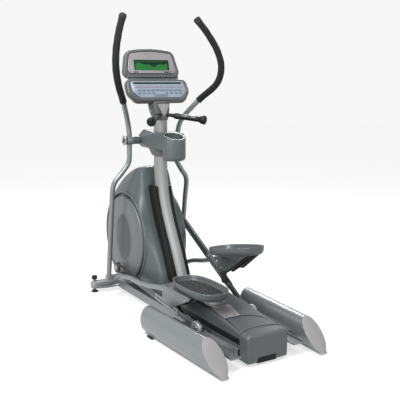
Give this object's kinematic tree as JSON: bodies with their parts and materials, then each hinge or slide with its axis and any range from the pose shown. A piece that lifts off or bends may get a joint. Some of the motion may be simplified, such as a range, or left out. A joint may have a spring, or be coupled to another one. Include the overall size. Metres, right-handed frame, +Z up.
{
  "type": "elliptical trainer",
  "caption": "Front-drive elliptical trainer with swinging arms, tray pedals on roller-guided rods, a teardrop drive housing, a mast console and oval side pods.",
  "frame": {"origin": "on the floor under the middle of the machine's bounding box", "axes": "+Z up; +Y towards the front, the drive housing's end; +X to the user's right when standing on the pedals and facing the console"},
  "size_m": [0.75, 1.726, 1.7456],
  "materials": {
    "silver_paint": "satin",
    "shroud_grey": "satin",
    "disc_grey": "satin",
    "housing_grey": "matte",
    "aluminium": "satin",
    "steel": "brushed",
    "cast_iron": "matte",
    "black_plastic": "matte",
    "rubber": "matte",
    "foam": "matte",
    "light_cap": "satin",
    "screen": "gloss",
    "overlay": "satin"
  },
  "bodies": {
    "frame": {"base_frame": "silver_paint", "front_stabiliser": "silver_paint", "pod_left": "silver_paint", "pod_right": "silver_paint", "roller_track_left": "silver_paint", "roller_track_right": "silver_paint", "pod_foot_left": "rubber", "pod_foot_right": "rubber", "rear_foot": "rubber", "drive_belt": "rubber", "pod_end_cap_left": "light_cap", "pod_end_cap_right": "light_cap", "centre_cover": "housing_grey", "rear_end_cap": "housing_grey", "keypad_housing": "housing_grey", "display_housing": "housing_grey", "console_neck": "housing_grey", "cover_plate": "aluminium", "mast": "aluminium", "display_faceplate": "aluminium", "mast_trim_left": "black_plastic", "mast_trim_right": "black_plastic", "pulse_grip_bar": "black_plastic", "pulse_grip_left": "black_plastic", "pulse_grip_right": "black_plastic", "shroud_left": "shroud_grey", "shroud_right": "shroud_grey", "cup_holder": "shroud_grey", "keypad_overlay": "overlay", "display_screen": "screen", "arm_axle": "steel", "brake_magnet": "steel", "crank_post": "cast_iron", "flywheel_bracket": "cast_iron", "idler_stand": "cast_iron"},
    "levelling_foot_left": {"levelling_foot_left": "rubber"},
    "levelling_foot_right": {"levelling_foot_right": "rubber"},
    "arm_left": {"swing_arm_left": "silver_paint", "foam_grip_left": "foam"},
    "arm_right": {"swing_arm_right": "silver_paint", "foam_grip_right": "foam"},
    "carrier_left": {"pedal_carrier_left": "silver_paint", "pedal_left": "housing_grey", "pedal_mat_left": "rubber"},
    "carrier_right": {"pedal_carrier_right": "silver_paint", "pedal_right": "housing_grey", "pedal_mat_right": "rubber"},
    "rod_left": {"connecting_rod_left": "silver_paint"},
    "rod_right": {"connecting_rod_right": "silver_paint"},
    "roller_left": {"roller_left": "light_cap"},
    "roller_right": {"roller_right": "light_cap"},
    "crank": {"crank_arm_left": "cast_iron", "crank_arm_right": "cast_iron", "crank_disc_left": "disc_grey", "crank_disc_right": "disc_grey", "crank_shaft": "steel", "drive_pulley": "black_plastic"},
    "flywheel": {"flywheel": "cast_iron", "flywheel_axle": "steel"},
    "idler": {"belt_idler": "steel"}
  },
  "joints": [
    {"name": "left_foot_level", "type": "slide", "parent": "frame", "child": "levelling_foot_left", "axis": [0, 0, 1], "range_m": [-0.008, 0.004]},
    {"name": "right_foot_level", "type": "slide", "parent": "frame", "child": "levelling_foot_right", "axis": [0, 0, 1], "range_m": [-0.008, 0.004]},
    {"name": "left_arm_swing", "type": "hinge", "parent": "frame", "child": "arm_left", "pos_m": [-0.165, 0.407, 1.013], "axis": [1, 0, 0], "range_deg": [-13.5, 13.5]},
    {"name": "right_arm_swing", "type": "hinge", "parent": "frame", "child": "arm_right", "pos_m": [0.165, 0.407, 1.013], "axis": [1, 0, 0], "range_deg": [-13.6, 13.6]},
    {"name": "left_pedal_hinge", "type": "hinge", "parent": "arm_left", "child": "carrier_left", "pos_m": [-0.224, 0.55, 0.135], "axis": [1, 0, 0], "range_deg": [-11, 11]},
    {"name": "right_pedal_hinge", "type": "hinge", "parent": "arm_right", "child": "carrier_right", "pos_m": [0.224, 0.55, 0.135], "axis": [1, 0, 0], "range_deg": [-11, 11]},
    {"name": "left_rod_hinge", "type": "hinge", "parent": "carrier_left", "child": "rod_left", "pos_m": [-0.178, -0.12, 0.171], "axis": [1, 0, 0], "range_deg": [-3, 3]},
    {"name": "right_rod_hinge", "type": "hinge", "parent": "carrier_right", "child": "rod_right", "pos_m": [0.178, -0.10167, 0.29477], "axis": [1, 0, 0], "range_deg": [-3.1, 3.1]},
    {"name": "left_roller_spin", "type": "hinge", "parent": "rod_left", "child": "roller_left", "pos_m": [-0.2, -0.44174, 0.105], "axis": [1, 0, 0], "continuous": true},
    {"name": "right_roller_spin", "type": "hinge", "parent": "rod_right", "child": "roller_right", "pos_m": [0.2, -0.36974, 0.105], "axis": [1, 0, 0], "continuous": true},
    {"name": "flywheel_spin", "type": "hinge", "parent": "frame", "child": "flywheel", "pos_m": [0, 0.335, 0.215], "axis": [1, 0, 0], "continuous": true},
    {"name": "crank_spin", "type": "hinge", "parent": "frame", "child": "crank", "pos_m": [0, 0.55166, 0.38766], "axis": [1, 0, 0], "continuous": true},
    {"name": "idler_spin", "type": "hinge", "parent": "frame", "child": "idler", "pos_m": [0.07, 0.48212, 0.20989], "axis": [1, 0, 0], "continuous": true}
  ],
  "couplings": [
    {"joint": "right_arm_swing", "follows": "left_arm_swing", "ratio": -1},
    {"joint": "left_pedal_hinge", "follows": "left_arm_swing", "ratio": -0.7866},
    {"joint": "right_pedal_hinge", "follows": "left_arm_swing", "ratio": 0.7806},
    {"joint": "left_rod_hinge", "follows": "left_arm_swing", "ratio": -0.2134},
    {"joint": "right_rod_hinge", "follows": "left_arm_swing", "ratio": 0.2194},
    {"joint": "crank_spin", "follows": "flywheel_spin", "ratio": 0.16923},
    {"joint": "idler_spin", "follows": "flywheel_spin", "ratio": -1.2222}
  ]
}
